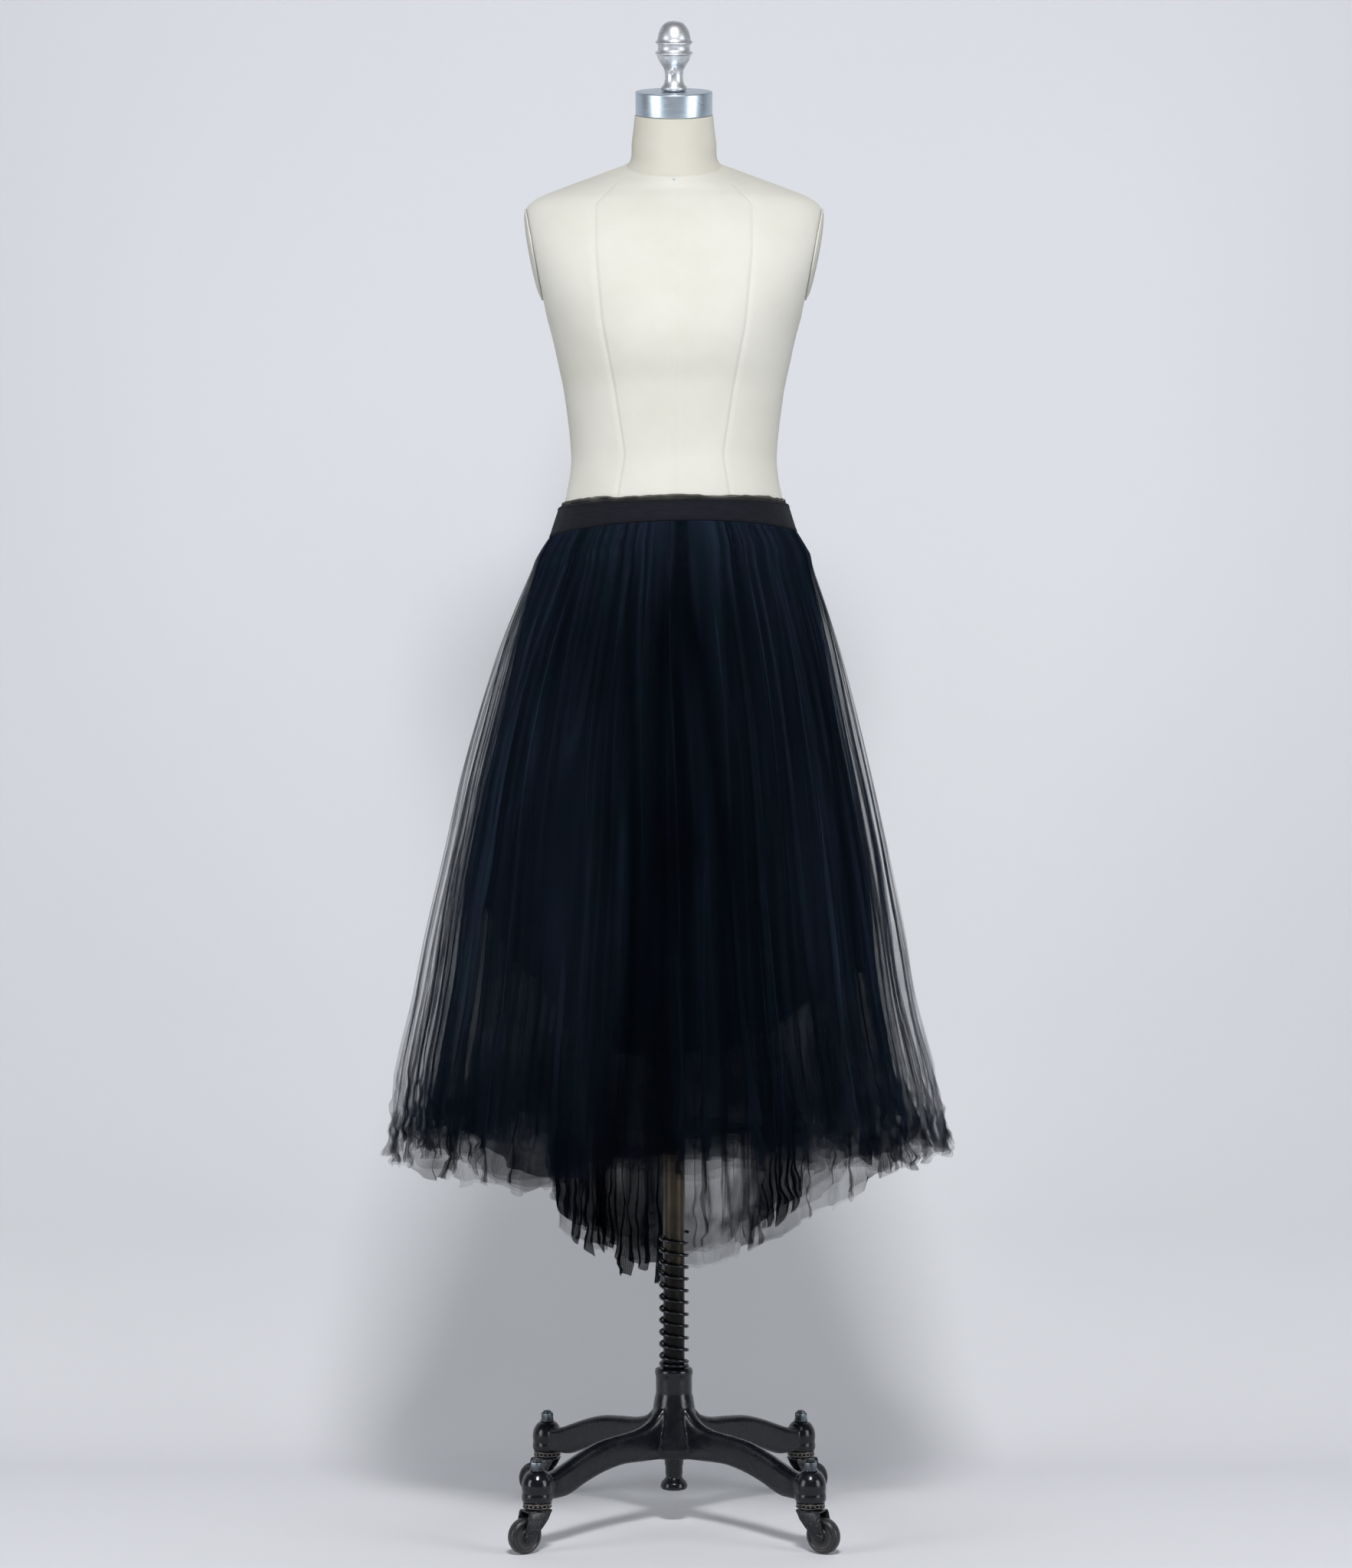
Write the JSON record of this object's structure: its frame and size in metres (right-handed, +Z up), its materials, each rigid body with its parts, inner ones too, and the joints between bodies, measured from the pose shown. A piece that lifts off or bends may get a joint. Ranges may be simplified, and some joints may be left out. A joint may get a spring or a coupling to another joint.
{
  "type": "tulle skirt on a dress form",
  "caption": "Gathered black tulle skirt with a longer back and ragged ruffled hem, on a limbless canvas dress form on a cast stand with casters.",
  "frame": {"origin": "on the floor below the pole's axis, under the middle of the overall size", "axes": "+Z up, -Y to the skirt's front, +X to the right as seen from the front"},
  "size_m": [0.6704, 0.586, 1.7785],
  "materials": {
    "tulle": "sheer net in several plies, matt, cool black",
    "waistband_cloth": "woven band, matt",
    "lining_cloth": "plain opaque lining, matt",
    "form_canvas": "cream canvas, matt",
    "form_board": "varnished board",
    "cap_steel": "bright, brushed round",
    "cast_aluminium": "tumbled casting",
    "pole_steel": "aged bare tube",
    "black_iron": "gloss black enamel, worn at the edges",
    "spring_steel": "gloss black",
    "race_steel": "darkened steel",
    "wheel_rubber": "hard black rubber, satin"
  },
  "bodies": {
    "base": {"base_casting": "black_iron", "hub_foot": "black_iron", "pole_spring": "spring_steel", "caster_stem_front_left": "black_iron", "caster_stem_front_right": "black_iron", "caster_stem_rear_left": "black_iron", "caster_stem_rear_right": "black_iron", "caster_race_front_left": "race_steel", "caster_race_front_right": "race_steel", "caster_race_rear_left": "race_steel", "caster_race_rear_right": "race_steel"},
    "mast": {"form_torso": "form_canvas", "arm_plate_left": "form_canvas", "arm_plate_right": "form_canvas", "form_board": "form_board", "neck_cap": "cap_steel", "finial": "cast_aluminium", "finial_screw": "cast_aluminium", "pole": "pole_steel", "waistband_front": "waistband_cloth", "waistband_back": "waistband_cloth", "waist_edge_front": "tulle", "waist_edge_back": "tulle", "outer_tulle_front": "tulle", "outer_tulle_back": "tulle", "middle_tulle_front": "tulle", "middle_tulle_back": "tulle", "lining_front": "lining_cloth", "lining_back": "lining_cloth", "inner_tulle_front": "tulle", "inner_tulle_back": "tulle", "outer_ruffle_front": "tulle", "outer_ruffle_back": "tulle", "inner_ruffle_front": "tulle", "inner_ruffle_back": "tulle"},
    "swivel_front_left": {"caster_fork_front_left": "black_iron"},
    "wheel_front_left": {"caster_wheel_front_left": "wheel_rubber"},
    "swivel_front_right": {"caster_fork_front_right": "black_iron"},
    "wheel_front_right": {"caster_wheel_front_right": "wheel_rubber"},
    "swivel_rear_left": {"caster_fork_rear_left": "black_iron"},
    "wheel_rear_left": {"caster_wheel_rear_left": "wheel_rubber"},
    "swivel_rear_right": {"caster_fork_rear_right": "black_iron"},
    "wheel_rear_right": {"caster_wheel_rear_right": "wheel_rubber"}
  },
  "joints": [
    {"name": "form_height", "type": "slide", "parent": "base", "child": "mast", "axis": [0, 0, 1], "range_m": [-0.04, 0.03]},
    {"name": "swivel_turn_front_left", "type": "hinge", "parent": "base", "child": "swivel_front_left", "pos_m": [-0.15627, -0.15627, 0.05], "axis": [0, 0, 1], "continuous": true},
    {"name": "wheel_spin_front_left", "type": "hinge", "parent": "swivel_front_left", "child": "wheel_front_left", "pos_m": [-0.1702, -0.16602, 0.02065], "axis": [0.5736, -0.8192, 0], "continuous": true},
    {"name": "swivel_turn_front_right", "type": "hinge", "parent": "base", "child": "swivel_front_right", "pos_m": [0.15627, -0.15627, 0.05], "axis": [0, 0, 1], "continuous": true},
    {"name": "wheel_spin_front_right", "type": "hinge", "parent": "swivel_front_right", "child": "wheel_front_right", "pos_m": [0.17053, -0.16553, 0.02065], "axis": [0.5446, 0.8387, 0], "continuous": true},
    {"name": "swivel_turn_rear_left", "type": "hinge", "parent": "base", "child": "swivel_rear_left", "pos_m": [-0.15627, 0.15627, 0.05], "axis": [0, 0, 1], "continuous": true},
    {"name": "wheel_spin_rear_left", "type": "hinge", "parent": "swivel_rear_left", "child": "wheel_rear_left", "pos_m": [-0.17168, 0.16346, 0.02065], "axis": [-0.4226, -0.9063, 0], "continuous": true},
    {"name": "swivel_turn_rear_right", "type": "hinge", "parent": "base", "child": "swivel_rear_right", "pos_m": [0.15627, 0.15627, 0.05], "axis": [0, 0, 1], "continuous": true},
    {"name": "wheel_spin_rear_right", "type": "hinge", "parent": "swivel_rear_right", "child": "wheel_rear_right", "pos_m": [0.17069, 0.16528, 0.02065], "axis": [-0.5299, 0.848, 0], "continuous": true}
  ]
}
